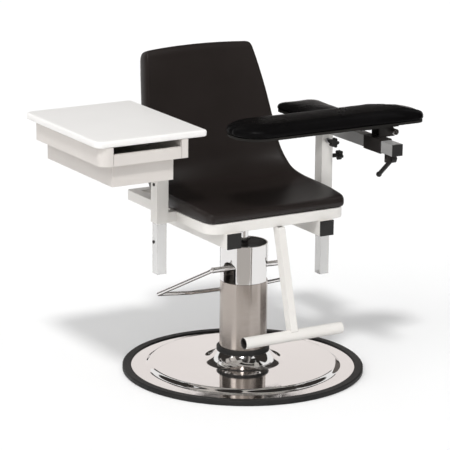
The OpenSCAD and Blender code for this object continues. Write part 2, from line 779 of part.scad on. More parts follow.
module left_sleeve() color([0.93, 0.91, 0.88]) difference() {
    sleeve_at(-1);
    bolt_place() translate([0, 0, -spot_t])
        cylinder(h = spot_t + sleeve_wall / 2, d = spot_d, $fn = small_fn);
}

module right_sleeve() color([0.93, 0.91, 0.88]) difference() {
    sleeve_at(1);
    knob_axes() translate([0, 0, -sleeve_wall - cut_over])
        cylinder(h = sleeve_wall + 2 * cut_over, d = stud_d + 2 * run_gap, $fn = small_fn);
}

// The two knob axes on the right sleeve, +Z pointing out of the sleeve's face
module front_axis() translate([post_x, post_y - sleeve_out / 2, sleeve_top - front_knob_drop])
    rotate([90, 0, 0]) children();
module side_axis() translate([post_x + sleeve_out / 2, post_y, sleeve_top - side_knob_drop])
    rotate([0, 90, 0]) children();
module knob_axes() {
    front_axis() children();
    side_axis() children();
}

module knob_bosses() color([0.8, 0.79, 0.77]) knob_axes() difference() {
    cylinder(h = boss_h, d = boss_d, $fn = small_fn);
    translate([0, 0, -cut_over])
        cylinder(h = boss_h + 2 * cut_over, d = stud_d + 2 * run_gap, $fn = small_fn);
}

// One knob with its stud, which ends just clear of the post
module knob_with_stud() {
    translate([0, 0, boss_h + knob_reach]) star_knob();
    translate([0, 0, -sleeve_wall])
        cylinder(h = sleeve_wall + boss_h + knob_reach / 2, d = stud_d, $fn = small_fn);
}

module front_knob() color([0.1, 0.1, 0.1]) front_axis() knob_with_stud();
module side_knob() color([0.1, 0.1, 0.1]) side_axis() knob_with_stud();

// Bolt head on the left sleeve and stop on the left post below it, +Z pointing into the tube
module bolt_place() translate([-post_x - sleeve_out / 2, post_y, sleeve_top - spot_drop])
    rotate([0, 90, 0]) children();
module stop_place() translate([-post_x - post_side / 2, post_y + post_side / 4, sleeve_z - stop_drop])
    rotate([0, 90, 0]) children();

module sleeve_bolt() color([0.4, 0.4, 0.4]) bolt_place()
    translate([0, 0, -spot_t]) cylinder(h = spot_t + sleeve_wall / 2, d = spot_d, $fn = small_fn);

module post_stop() color([0.4, 0.4, 0.4]) stop_place()
    translate([0, 0, -spot_t]) cylinder(h = spot_t + tube_wall / 2, d = spot_d, $fn = small_fn);

// Side table

module left_post() color([0.93, 0.91, 0.88]) difference() {
    translate([-post_x - post_side / 2, post_y - post_side / 2, left_post_z])
        square_tube(post_side, tube_wall, post_l);
    stop_place() translate([0, 0, -spot_t]) cylinder(h = spot_t + tube_wall / 2, d = spot_d, $fn = small_fn);
}

module table_bracket() color([0.93, 0.91, 0.88]) {
    face_x = -post_x - post_side / 2;
    difference() {
        union() {
            translate([face_x - case_gap, post_y - bracket_half, case_z])
                cube([case_gap, 2 * bracket_half, board_z - case_z]);
            for (y = [post_y - bracket_half, post_y + post_side / 2])
                translate([face_x, y, board_z - bracket_t])
                    cube([bracket_out, bracket_half - post_side / 2, bracket_t]);
        }
        ledge_places() screw_shaft(bracket_t);
        side_places() screw_shaft(case_gap);
    }
}

module table_top() color([0.95, 0.94, 0.92]) {
    nose = min(table_t / 3, table_near_r * 0.8);
    translate([board_x - table_w, -table_fore, board_z]) hull()
        for (far = [0, 1], y = [0, 1]) {
            r = far == 0 ? table_r : table_near_r;
            translate([far == 0 ? r : table_w - r, y == 0 ? r : table_d - r, 0])
                rotate_extrude($fn = small_fn) polygon([[0, 0], [r - nose, 0], [r, nose],
                    [r, table_t - nose], [r - nose, table_t], [0, table_t]]);
        }
}

module drawer_case() color([0.94, 0.92, 0.88]) {
    x0 = case_x - case_w;
    skirt = case_h;
    difference() {
        translate([x0, case_front, case_z]) linear_extrude(skirt) {
            translate([case_r, 0]) square([case_w - case_r, case_d]);
            translate([0, case_r]) square([case_w, case_d - 2 * case_r]);
            for (y = [case_r, case_d - case_r]) translate([case_r, y]) circle(case_r, $fn = round_fn);
        }
        translate([bay_x0, case_front - cut_over, case_z - cut_over])
            cube([bay_x1 - bay_x0, case_d - case_back_w + cut_over, skirt + 2 * cut_over]);
        translate([x0 + case_skin, case_front + case_r, case_z - cut_over])
            cube([case_left_w - 2 * case_skin, case_d - 2 * case_r, skirt - case_skin + cut_over]);
        translate([bay_x1 + case_skin, case_front + case_skin, case_z - cut_over])
            cube([case_right_w - 2 * case_skin, case_d - 2 * case_skin, skirt - case_skin + cut_over]);
        side_places() screw_shaft(case_gap + case_skin);
    }
}

module drawer_runners() color([0.75, 0.75, 0.76]) {
    run = case_d - case_back_w - tub_setback;
    translate([bay_x0, case_front + tub_setback, case_z]) cube([runner_w, run, runner_t]);
    translate([bay_x1 - runner_w - tub_inner_room, case_front + tub_setback, case_z])
        cube([runner_w + tub_inner_room, run, runner_t]);
}

module drawer_front() color([0.95, 0.93, 0.9]) {
    w = bay_x1 - bay_x0 - 2 * drawer_gap;
    translate([bay_x0 + drawer_gap, case_front, case_z]) {
        cube([w, lip_t, front_h]);
        translate([0, 0, front_h - lip_t]) cube([w, lip_w, lip_t]);
    }
}

module drawer_tub() color([0.93, 0.9, 0.86]) {
    x0 = bay_x0 + runner_w + tub_side_gap;
    x1 = bay_x1 - runner_w - tub_inner_room - tub_side_gap;
    y0 = case_front + tub_setback;
    d = case_d - case_back_w - tub_setback - tub_rear_gap;
    top_z = case_z + runner_t + flange_gap;
    h = top_z - tub_z + tub_wall;
    difference() {
        union() {
            translate([x0, y0, tub_z]) cube([x1 - x0, d, h]);
            translate([bay_x0 + drawer_gap, case_front + lip_t, top_z])
                cube([bay_x1 - bay_x0 - 2 * drawer_gap, d + tub_setback - lip_t, tub_wall]);
        }
        translate([x0 + tub_wall, y0 + tub_wall, tub_z + tub_wall])
            cube([x1 - x0 - 2 * tub_wall, d - 2 * tub_wall, h]);
    }
}

// Screws of the bracket: two up through its ledges, two sideways into the case
module ledge_places() for (y = [-1, 1] * (bracket_half + post_side / 2) / 2)
    translate([-post_x - post_side / 2 + bracket_out / 2, post_y + y, board_z - bracket_t]) children();
module side_places() for (y = [-1, 1] * (bracket_half + post_side / 2) / 2)
    translate([-post_x - post_side / 2, post_y + y, case_z + case_h / 2]) rotate([0, -90, 0]) children();

module table_screws() color([0.7, 0.7, 0.7]) {
    ledge_places() {
        screw_head();
        screw_shaft(bracket_t);
    }
    side_places() {
        screw_head();
        screw_shaft(case_gap + case_skin);
    }
}

// Arm

module right_post() color([0.93, 0.91, 0.88])
    translate([post_x - post_side / 2, post_y - post_side / 2, right_post_z])
        square_tube(post_side, tube_wall, post_l);

module arm_bar() color([0.75, 0.75, 0.76]) difference() {
    translate([post_x - bar_side / 2, -bar_fore, bar_h]) beam_y(bar_side, tube_wall, bar_fore + bar_aft);
    rest_places() screw_shaft(tube_wall);
}

module bar_caps() color([0.13, 0.13, 0.13]) {
    inner = bar_side - 2 * tube_wall;
    for (end = [0, 1])
        translate([post_x, end == 0 ? -bar_fore : bar_aft, bar_h + bar_side / 2]) mirror([0, end, 0]) {
            translate([-bar_side / 2, -cap_t, -bar_side / 2]) cube([bar_side, cap_t, bar_side]);
            translate([-inner / 2, -cap_t / 2, -inner / 2]) cube([inner, cap_plug, inner]);
        }
}

module armrest_board() color([0.12, 0.12, 0.12]) difference() {
    translate([post_x - rest_w / 2 + board_inset, rest_y + board_inset, bar_top])
        linear_extrude(rest_board_t)
            round_rect(rest_w - 2 * board_inset, rest_l - 2 * board_inset, rest_r - board_inset);
    rest_places() screw_shaft(tube_wall + rest_board_t);
}

module armrest_pad() color([0.09, 0.09, 0.1])
    translate([post_x - rest_w / 2, rest_y + rest_l, rest_z]) rotate([0, 0, -90])
        cushion(rest_l, rest_w, rest_r, rest_t, board_inset / 2);

module rest_places() for (share = [1 / 4, 2 / 3])
    translate([post_x, rest_y + rest_l * share, bar_top - tube_wall]) children();

module armrest_screws() color([0.7, 0.7, 0.7]) rest_places() {
    screw_head();
    screw_shaft(tube_wall + rest_board_t);
}

module slider_block() color([0.14, 0.14, 0.14]) {
    cheek_x = post_x + block_out / 2 - 2 * cheek_t - cheek_gap;
    translate([post_x - block_out / 2, block_y, block_z]) beam_y(block_out, slider_wall, slider_l);
    for (x = [cheek_x, cheek_x + cheek_t + cheek_gap])
        translate([x, block_y, block_z - cheek_drop]) difference() {
            cube([cheek_t, cheek_len, cheek_drop + slider_wall / 2]);
            translate([-cut_over, cheek_len / 2, cheek_drop - clamp_drop]) rotate([0, 90, 0])
                cylinder(h = cheek_t + 2 * cut_over, d = stud_d + 2 * run_gap, $fn = small_fn);
        }
}

// Axis of the clamp screw under the slider's front end, +Z pointing outboard
module clamp_axis() translate([post_x + block_out / 2, block_y + cheek_len / 2, block_z - clamp_drop])
    rotate([0, 90, 0]) children();

module clamp_lever() color([0.08, 0.08, 0.08]) {
    hub_at = [post_x + block_out / 2 + soft_gap + hub_w / 2, block_y + cheek_len / 2, block_z - clamp_drop];
    tip = hub_at + [-lever_lean, lever_l * cos(lever_tilt) * 0.98, -lever_l * sin(lever_tilt) * 0.98];
    clamp_axis() translate([0, 0, soft_gap]) difference() {
        cylinder(h = hub_w, d = hub_clamp_d, $fn = small_fn);
        translate([0, 0, -cut_over]) cylinder(h = hub_w + 2 * cut_over, d = stud_d, $fn = small_fn);
    }
    difference() {
        rod(hub_at, tip, lever_d);
        clamp_axis() cylinder(h = hub_w + cut_over, d = hub_clamp_d - slider_wall, $fn = small_fn);
    }
    translate(tip) sphere(d = lever_tip_d, $fn = small_fn);
}

module clamp_screw() color([0.8, 0.8, 0.82]) clamp_axis() {
    grip = 2 * cheek_t + cheek_gap;
    translate([0, 0, -grip]) cylinder(h = grip + hub_w + soft_gap, d = stud_d, $fn = small_fn);
    translate([0, 0, hub_w + soft_gap]) cylinder(h = screw_head_h, d = screw_head_d, $fn = small_fn);
}

module hinge_bracket() color([0.2, 0.17, 0.15]) {
    plate_x = hinge_x + ear_r - bracket_w;
    translate([plate_x, bracket_y, block_top]) cube([bracket_w, bracket_l, base_plate_t]);
    for (y = [bracket_y, bracket_y + bracket_l - ear_t]) difference() {
        union() {
            translate([plate_x, y, block_top]) cube([hinge_x - plate_x, ear_t, hinge_rise + ear_r]);
            translate([hinge_x - ear_r, y, block_top]) cube([2 * ear_r, ear_t, hinge_rise]);
            translate([hinge_x, y + ear_t, hinge_z]) rotate([90, 0, 0])
                cylinder(h = ear_t, r = ear_r, $fn = small_fn);
        }
        translate([hinge_x, y + ear_t + cut_over, hinge_z]) rotate([90, 0, 0])
            cylinder(h = ear_t + 2 * cut_over, d = pin_d, $fn = small_fn);
    }
}

module hinge_pin() color([0.85, 0.85, 0.86])
    translate([hinge_x, bracket_y + bracket_l, hinge_z]) rotate([90, 0, 0]) {
        cylinder(h = bracket_l + pin_shank, d = pin_d, $fn = small_fn);
        translate([0, 0, bracket_l + pin_shank]) cylinder(h = pin_head_l, d = pin_head_d, $fn = small_fn);
    }

module hinge_knuckle() color([0.22, 0.2, 0.18]) {
    y0 = bracket_y + ear_t + soft_gap;
    len = bracket_l - 2 * ear_t - 2 * soft_gap;
    difference() {
        union() {
            translate([hinge_x - knuckle_half, y0, hinge_z])
                cube([2 * knuckle_half, len, knuckle_rise]);
            translate([hinge_x, y0 + len, hinge_z]) rotate([90, 0, 0])
                cylinder(h = len, r = knuckle_half, $fn = small_fn);
            translate([hinge_x + plate_lead - pad_plate_l, bracket_y + bracket_l / 2 - pad_plate_w / 2,
                hinge_z + knuckle_rise]) cube([pad_plate_l, pad_plate_w, pad_plate_t]);
        }
        translate([hinge_x, y0 + len + cut_over, hinge_z]) rotate([90, 0, 0])
            cylinder(h = len + 2 * cut_over, d = pin_d + 2 * run_gap, $fn = small_fn);
        pad_places() screw_shaft(pad_plate_t);
    }
}

module flip_board() color([0.12, 0.12, 0.12]) difference() {
    translate([pad_x + board_inset, pad_y + board_inset, pad_z - flip_board_t]) linear_extrude(flip_board_t)
        round_rect(pad_l - 2 * board_inset, pad_w - 2 * board_inset, [for (c = pad_r) c - board_inset]);
    pad_places() screw_shaft(pad_plate_t + flip_board_t);
}

module flip_pad() color([0.08, 0.08, 0.09])
    translate([pad_x, pad_y, pad_z]) cushion(pad_l, pad_w, pad_r, pad_t, board_inset / 2);

module pad_places() {
    edge = screw_head_d * 0.75;
    far = hinge_x + plate_lead - pad_plate_l + edge;
    for (x = [far, far + pad_plate_l / 6], y = [-1, 1] * (pad_plate_w / 2 - edge))
        translate([x, bracket_y + bracket_l / 2 + y, hinge_z + knuckle_rise]) children();
}

module pad_screws() color([0.7, 0.7, 0.7]) pad_places() {
    translate([0, 0, screw_head_h / 2]) intersection() {
        screw_head();
        translate([0, 0, -screw_head_h]) cylinder(h = screw_head_h / 2, d = screw_head_d, $fn = small_fn);
    }
    screw_shaft(pad_plate_t + flip_board_t);
}

base_cover();
base_rim();
base_weight();
base_bolts();
base_collar();
column_tube();
thrust_ring();
guide_bush();
pump_cylinder();
pump_head();
gland_ring();
column_shroud();
pump_axle();
pump_hoop();
ram();
seat_hub();
seat_plate();
left_rail();
right_rail();
rail_caps();
seat_frame();
seat_shell();
seat_screws();
footrest_strut();
footrest_bar();
left_sleeve();
right_sleeve();
sleeve_bolt();
knob_bosses();
front_knob();
side_knob();
left_post();
post_stop();
table_bracket();
table_top();
drawer_case();
drawer_runners();
drawer_front();
drawer_tub();
table_screws();
right_post();
arm_bar();
bar_caps();
armrest_board();
armrest_pad();
armrest_screws();
slider_block();
clamp_lever();
clamp_screw();
hinge_bracket();
hinge_pin();
hinge_knuckle();
flip_board();
flip_pad();
pad_screws();
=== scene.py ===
import bpy
import bmesh
import json
import math
from mathutils import Matrix, Vector


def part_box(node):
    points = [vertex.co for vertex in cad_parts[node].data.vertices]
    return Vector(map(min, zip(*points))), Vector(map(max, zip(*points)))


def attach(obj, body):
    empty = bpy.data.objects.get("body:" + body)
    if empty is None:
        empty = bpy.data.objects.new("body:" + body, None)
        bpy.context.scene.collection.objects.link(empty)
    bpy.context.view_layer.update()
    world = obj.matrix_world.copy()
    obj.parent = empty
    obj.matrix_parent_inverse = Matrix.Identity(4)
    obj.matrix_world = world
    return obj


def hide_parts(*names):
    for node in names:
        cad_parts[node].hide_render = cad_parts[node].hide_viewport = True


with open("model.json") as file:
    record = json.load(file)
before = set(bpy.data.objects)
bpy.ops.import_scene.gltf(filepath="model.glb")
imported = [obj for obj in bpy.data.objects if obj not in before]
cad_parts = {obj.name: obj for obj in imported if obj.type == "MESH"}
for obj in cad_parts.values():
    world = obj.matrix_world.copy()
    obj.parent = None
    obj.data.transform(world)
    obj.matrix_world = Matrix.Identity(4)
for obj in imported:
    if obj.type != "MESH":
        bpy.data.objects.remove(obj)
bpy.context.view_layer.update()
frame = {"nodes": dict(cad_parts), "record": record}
nodes = frame["nodes"]
mm = 0.001
print("frame loaded,", len(nodes), "pieces")


# camera, as in the photo
cameraSetup = {"place": (-3.28694, -5.44753, 2.05654), "turn": 30.6698, "tilt": 14.8096, "roll": 0.5952,
               "lens": 210.4, "sensor": 36.0, "farClip": 100.0}


def addCamera(s):
    turn, tilt, roll = (math.radians(s[k]) for k in ("turn", "tilt", "roll"))
    ahead = Vector((math.sin(turn) * math.cos(tilt), math.cos(turn) * math.cos(tilt), -math.sin(tilt)))
    right = Vector((math.cos(turn), -math.sin(turn), 0.0))
    up = right.cross(ahead)
    rightRolled = right * math.cos(roll) + up * math.sin(roll)
    upRolled = up * math.cos(roll) - right * math.sin(roll)
    data = bpy.data.cameras.new("photoCamera")
    data.lens = s["lens"]
    data.sensor_width = s["sensor"]
    data.sensor_fit = "HORIZONTAL"
    data.clip_end = s["farClip"]
    camera = bpy.data.objects.new("photoCamera", data)
    bpy.context.scene.collection.objects.link(camera)
    facing = Matrix((rightRolled, upRolled, -ahead)).transposed().to_4x4()
    camera.matrix_world = Matrix.Translation(Vector(s["place"])) @ facing
    bpy.context.scene.camera = camera


addCamera(cameraSetup)
print("camera placed")


# finishes: colour and its second tone, cloud = size of the colour patches, grain and bump = surface texture
finishSetup = {"noiseRough": 0.55, "noiseDetail": 3.0, "grainDetail": 2.0, "waveDetail": 1.0,
               "edgeSamples": 4, "cellBlend": 0.6, "coatRough": 0.1, "brushTurn": 0.25,
               "boreSeen": (0.5, 0.85), "endFacing": (0.8, 0.95)}
firstColor, secondColor, mixedColor = 6, 7, 2    # the colour sockets of a Mix node


def freshTree(name):
    mat = bpy.data.materials.new(name)
    mat.use_nodes = True
    tree = mat.node_tree
    tree.nodes.clear()
    out = tree.nodes.new("ShaderNodeOutputMaterial")
    skin = tree.nodes.new("ShaderNodeBsdfPrincipled")
    tree.links.new(skin.outputs["BSDF"], out.inputs["Surface"])
    return mat, tree, skin


def stretchedCoords(tree, stretch):
    coords = tree.nodes.new("ShaderNodeTexCoord")
    mapping = tree.nodes.new("ShaderNodeMapping")
    mapping.inputs["Scale"].default_value = stretch
    tree.links.new(coords.outputs["Object"], mapping.inputs["Vector"])
    return mapping.outputs["Vector"]


def noiseTexture(tree, coords, scale, detail=finishSetup["noiseDetail"]):
    noise = tree.nodes.new("ShaderNodeTexNoise")
    noise.inputs["Scale"].default_value = scale
    noise.inputs["Detail"].default_value = detail
    noise.inputs["Roughness"].default_value = finishSetup["noiseRough"]
    tree.links.new(coords, noise.inputs["Vector"])
    return noise.outputs["Fac"]


def spread(tree, value, low, high, fromLow=0.3, fromHigh=0.7):
    span = tree.nodes.new("ShaderNodeMapRange")
    span.inputs["From Min"].default_value = fromLow
    span.inputs["From Max"].default_value = fromHigh
    span.inputs["To Min"].default_value = low
    span.inputs["To Max"].default_value = high
    tree.links.new(value, span.inputs["Value"])
    return span.outputs["Result"]


def colorMix(tree, factor, first):
    mix = tree.nodes.new("ShaderNodeMix")
    mix.data_type = "RGBA"
    mix.inputs[firstColor].default_value = (*first, 1.0)
    tree.links.new(factor, mix.inputs[0])
    return mix


def twoTone(tree, factor, first, second):
    mix = colorMix(tree, factor, first)
    mix.inputs[secondColor].default_value = (*second, 1.0)
    return mix.outputs[mixedColor]


def mathNode(tree, operation, first, second=None):
    node = tree.nodes.new("ShaderNodeMath")
    node.operation = operation
    tree.links.new(first, node.inputs[0])
    if second is not None:
        tree.links.new(second, node.inputs[1])
    return node.outputs["Value"]


def softEdge(tree, radius):
    bevel = tree.nodes.new("ShaderNodeBevel")
    bevel.samples = finishSetup["edgeSamples"]
    bevel.inputs["Radius"].default_value = radius
    return bevel.outputs["Normal"]


def bumpOn(tree, height, depth, normal=None):
    bump = tree.nodes.new("ShaderNodeBump")
    bump.inputs["Distance"].default_value = depth
    bump.inputs["Strength"].default_value = 1.0
    tree.links.new(height, bump.inputs["Height"])
    if normal is not None:
        tree.links.new(normal, bump.inputs["Normal"])
    return bump.outputs["Normal"]


# painted shade: a tube along X is painted dark inside, where it sees only its own wall, and on its cut ends,
# standing in for the shade of its open bore
def boreShade(tree, tone, paintedBoreShade, boreReach):
    seen = tree.nodes.new("ShaderNodeAmbientOcclusion")
    seen.only_local = True
    seen.inputs["Distance"].default_value = boreReach
    facing = tree.nodes.new("ShaderNodeSeparateXYZ")
    tree.links.new(tree.nodes.new("ShaderNodeTexCoord").outputs["Normal"], facing.inputs["Vector"])
    endOn = mathNode(tree, "ABSOLUTE", facing.outputs["X"])
    # painted shade mask: 1 where the paint shows, 0 in the bore and on the cut ends
    painted = mathNode(tree, "MULTIPLY", spread(tree, seen.outputs["AO"], 0.0, 1.0, *finishSetup["boreSeen"]),
                       spread(tree, endOn, 1.0, 0.0, *finishSetup["endFacing"]))
    mix = colorMix(tree, painted, paintedBoreShade)
    tree.links.new(tone, mix.inputs[secondColor])
    return mix.outputs[mixedColor]


def paintFinish(name, look):
    mat, tree, skin = freshTree(name)
    plain = stretchedCoords(tree, (1, 1, 1))
    cloud = noiseTexture(tree, plain, look["cloud"])
    tone = twoTone(tree, spread(tree, cloud, 0.0, 1.0), look["color"], look["second"])
    # painted shade in the bore and on the cut ends, for a look that gives its colour
    if look.get("paintedBoreShade"):
        tone = boreShade(tree, tone, look["paintedBoreShade"], look["boreReach"])
    tree.links.new(tone, skin.inputs["Base Color"])
    streaks = stretchedCoords(tree, look.get("stretch", (1, 1, 1)))
    grain = noiseTexture(tree, streaks, look["grain"], finishSetup["grainDetail"])
    low, high = look["rough"]
    tree.links.new(spread(tree, grain, low, high), skin.inputs["Roughness"])
    normal = softEdge(tree, look["edge"]) if look.get("edge") else None
    tree.links.new(bumpOn(tree, grain, look["bump"], normal), skin.inputs["Normal"])
    skin.inputs["Metallic"].default_value = look.get("metal", 0.0)
    if look.get("brushed"):
        around = tree.nodes.new("ShaderNodeTangent")
        around.direction_type = "RADIAL"
        around.axis = "Z"
        tree.links.new(around.outputs["Tangent"], skin.inputs["Tangent"])
        # brushed round the tube, so that the light runs along it
        skin.inputs["Anisotropic"].default_value = look["brushed"]
        skin.inputs["Anisotropic Rotation"].default_value = finishSetup["brushTurn"]
    skin.inputs["Specular IOR Level"].default_value = look.get("gloss", 0.5)
    skin.inputs["Coat Weight"].default_value = look.get("coat", 0.0)
    skin.inputs["Coat Roughness"].default_value = finishSetup["coatRough"]
    return mat


def grainedFinish(name, look):
    mat, tree, skin = freshTree(name)
    plain = stretchedCoords(tree, (1, 1, 1))
    cells = tree.nodes.new("ShaderNodeTexVoronoi")
    cells.feature = "SMOOTH_F1"
    cells.inputs["Scale"].default_value = look["cells"]
    cells.inputs["Smoothness"].default_value = finishSetup["cellBlend"]
    tree.links.new(plain, cells.inputs["Vector"])
    cloud = noiseTexture(tree, plain, look["cloud"])
    tone = twoTone(tree, spread(tree, cloud, 0.0, 1.0), look["color"], look["second"])
    tree.links.new(tone, skin.inputs["Base Color"])
    low, high = look["rough"]
    tree.links.new(spread(tree, cloud, low, high), skin.inputs["Roughness"])
    swing = noiseTexture(tree, plain, look["waves"], finishSetup["waveDetail"])
    waves = bumpOn(tree, swing, look["waveDepth"])
    tree.links.new(bumpOn(tree, cells.outputs["Distance"], look["bump"], waves), skin.inputs["Normal"])
    skin.inputs["Specular IOR Level"].default_value = look["gloss"]
    return mat


paints = {
    "frame_paint": {"color": (0.80, 0.78, 0.745), "second": (0.76, 0.735, 0.70), "cloud": 6.0,
                    "grain": 420.0, "bump": 0.00006, "rough": (0.3, 0.42), "edge": 0.0014, "coat": 0.15},
    "laminate": {"color": (0.93, 0.915, 0.895), "second": (0.90, 0.885, 0.865), "cloud": 5.0,
                 "grain": 700.0, "bump": 0.00003, "rough": (0.28, 0.4), "edge": 0.001},
    "case_plastic": {"color": (0.71, 0.67, 0.635), "second": (0.675, 0.635, 0.60), "cloud": 5.0,
                     "grain": 500.0, "bump": 0.00005, "rough": (0.35, 0.48), "edge": 0.0012},
    "chrome": {"color": (0.79, 0.775, 0.765), "second": (0.76, 0.745, 0.735), "cloud": 3.0, "grain": 60.0,
               "bump": 0.00001, "rough": (0.04, 0.09), "edge": 0.001, "metal": 1.0},
    "brushed": {"color": (0.47, 0.42, 0.385), "second": (0.43, 0.38, 0.345), "cloud": 4.0, "grain": 26.0,
                "stretch": (1, 1, 34), "bump": 0.00003, "rough": (0.2, 0.27), "edge": 0.0008, "metal": 1.0,
                "brushed": 0.75},
    "bar_steel": {"color": (0.73, 0.725, 0.715), "second": (0.67, 0.665, 0.655), "cloud": 9.0,
                  "grain": 160.0, "bump": 0.000004, "rough": (0.16, 0.22), "edge": 0.0016, "metal": 0.55},
    "fastener": {"color": (0.6, 0.6, 0.62), "second": (0.5, 0.5, 0.51), "cloud": 40.0, "grain": 300.0,
                 "bump": 0.00003, "rough": (0.3, 0.42), "edge": 0.0006, "metal": 1.0},
    "bronze": {"color": (0.42, 0.38, 0.33), "second": (0.34, 0.30, 0.26), "cloud": 30.0, "grain": 80.0,
               "stretch": (1, 1, 12), "bump": 0.00004, "rough": (0.35, 0.5), "metal": 1.0},
    "iron": {"color": (0.055, 0.055, 0.058), "second": (0.035, 0.035, 0.037), "cloud": 14.0,
             "grain": 260.0, "bump": 0.00022, "rough": (0.45, 0.62), "edge": 0.001},
    "rubber": {"color": (0.028, 0.027, 0.026), "second": (0.018, 0.018, 0.018), "cloud": 11.0,
               "grain": 380.0, "bump": 0.00012, "rough": (0.42, 0.58), "edge": 0.0016, "gloss": 0.1},
    "plug_plastic": {"color": (0.02, 0.02, 0.02), "second": (0.03, 0.029, 0.028), "cloud": 18.0,
                     "grain": 520.0, "bump": 0.0001, "rough": (0.36, 0.5), "edge": 0.0009, "gloss": 0.16},
    "black_paint": {"color": (0.02, 0.018, 0.017), "second": (0.03, 0.026, 0.024), "cloud": 16.0,
                    "grain": 380.0, "bump": 0.00008, "rough": (0.3, 0.45), "edge": 0.001, "gloss": 0.22},
    "board": {"color": (0.012, 0.011, 0.01), "second": (0.02, 0.018, 0.016), "cloud": 9.0, "grain": 90.0,
              "stretch": (1, 9, 9), "bump": 0.0002, "rough": (0.5, 0.7), "edge": 0.001, "gloss": 0.2},
}
grained = {
    "shell_plastic": {"color": (0.0165, 0.0125, 0.0112), "second": (0.0215, 0.0165, 0.015), "cloud": 4.0,
                      "cells": 620.0, "bump": 0.00016, "waves": 7.0, "waveDepth": 0.0006,
                      "rough": (0.3, 0.38), "gloss": 0.27},
    "vinyl": {"color": (0.0032, 0.003, 0.0031), "second": (0.005, 0.0046, 0.0048), "cloud": 10.0,
              "cells": 850.0, "bump": 0.00012, "waves": 22.0, "waveDepth": 0.0008, "rough": (0.25, 0.34),
              "gloss": 0.04},
}
finishes = {key: paintFinish(key + "Finish", look) for key, look in paints.items()}
finishes.update({key: grainedFinish(key + "Finish", look) for key, look in grained.items()})
for row in frame["record"]["subparts"]:
    for place in nodes[row["node"]].material_slots:
        place.material = finishes[row["material_slot"]]
# the footrest bar: frame paint with painted shade in its bore and on its cut ends
barPaintAndShade = {**paints["frame_paint"], "paintedBoreShade": (0.03, 0.026, 0.024), "boreReach": 40 * mm}
for place in nodes["footrest_bar"].material_slots:
    place.material = paintFinish("footBarShadedFinish", barPaintAndShade)
print("finishes set,", len(finishes))


# shared mesh work
def addPiece(name, points, faces, slotName, body, replaced, sharp):
    mesh = bpy.data.meshes.new(name)
    mesh.from_pydata(points, [], faces)
    mesh.validate()
    work = bmesh.new()
    work.from_mesh(mesh)
    bmesh.ops.recalc_face_normals(work, faces=work.faces)
    work.to_mesh(mesh)
    work.free()
    for face in mesh.polygons:
        face.use_smooth = True
    mesh.set_sharp_from_angle(angle=math.radians(sharp))
    piece = bpy.data.objects.new(name, mesh)
    bpy.context.scene.collection.objects.link(piece)
    mesh.materials.append(finishes[slotName])
    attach(piece, body)
    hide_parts(replaced)
    return piece


def skinOver(rings):
    count = len(rings[0])
    points = [p for ring in rings for p in ring]
    faces = []
    for i in range(len(rings) - 1):
        for j in range(count):
            k = (j + 1) % count
            faces.append((i * count + j, i * count + k, (i + 1) * count + k, (i + 1) * count + j))
    faces.append(tuple(range(count)))
    faces.append(tuple(range((len(rings) - 1) * count, len(rings) * count)))
    return points, faces


# a smooth curve through rows of values
def rowAt(rows, at):
    i = min(int(math.floor(at)), len(rows) - 2)
    u = at - i
    a, b, c, d = (rows[max(0, min(len(rows) - 1, k))] for k in (i - 1, i, i + 1, i + 2))
    return [0.5 * (2 * q + (r - p) * u + (2 * p - 5 * q + 4 * r - s) * u * u
                   + (3 * q - p - 3 * r + s) * u ** 3) for p, q, r, s in zip(a, b, c, d)]


# moulded seat shell; rows run from the front edge to the top: depth and height as shares of the shell's,
# half width, thickness, hollow and thickened edge as shares of theirs
shellPiece = {"width": 406 * mm, "depth": 432 * mm, "height": 352 * mm, "thickness": 24 * mm,
              "hollow": 32 * mm, "edge": 11 * mm, "arch": 6 * mm, "front": -165 * mm, "under": 435.7 * mm,
              "alongSteps": 150, "acrossSteps": 44, "edgeSteps": 10, "edgeShare": 0.035, "slopeStep": 0.004,
              "archPower": 12, "hollowPower": 2.4, "edgePowers": (0.7, 0.9), "sharp": 50.0}
shellRows = [
    [0, 0.033, 0.9, 0.36, 0, 0], [0.006, 0.033, 0.93, 0.72, 0.04, 0.3],
    [0.025, 0.034, 0.955, 0.94, 0.1, 0.8], [0.069, 0.034, 0.975, 1, 0.18, 1],
    [0.212, 0.034, 0.995, 1, 0.32, 1], [0.375, 0.034, 1, 1, 0.38, 1],
    [0.511, 0.036, 0.993, 1.02, 0.46, 1.15], [0.625, 0.05, 0.98, 1.08, 0.62, 1.75],
    [0.712, 0.095, 0.96, 1.12, 0.86, 2.4], [0.779, 0.17, 0.94, 1.12, 1, 2.6],
    [0.823, 0.28, 0.92, 1.12, 0.95, 2.2], [0.862, 0.44, 0.896, 1.12, 0.82, 1.9],
    [0.905, 0.62, 0.863, 1.12, 0.7, 1.7], [0.951, 0.79, 0.819, 1.12, 0.62, 1.6],
    [0.983, 0.905, 0.785, 1.12, 0.54, 1.4], [0.9935, 0.957, 0.769, 1.1, 0.46, 1.1],
    [0.998, 0.985, 0.745, 0.9, 0.4, 0.6], [1, 0.996, 0.695, 0.5, 0.36, 0.2]]


def shellMid(s, row):
    return row[0] * (s["depth"] - s["thickness"] / 2), row[1] * s["height"]


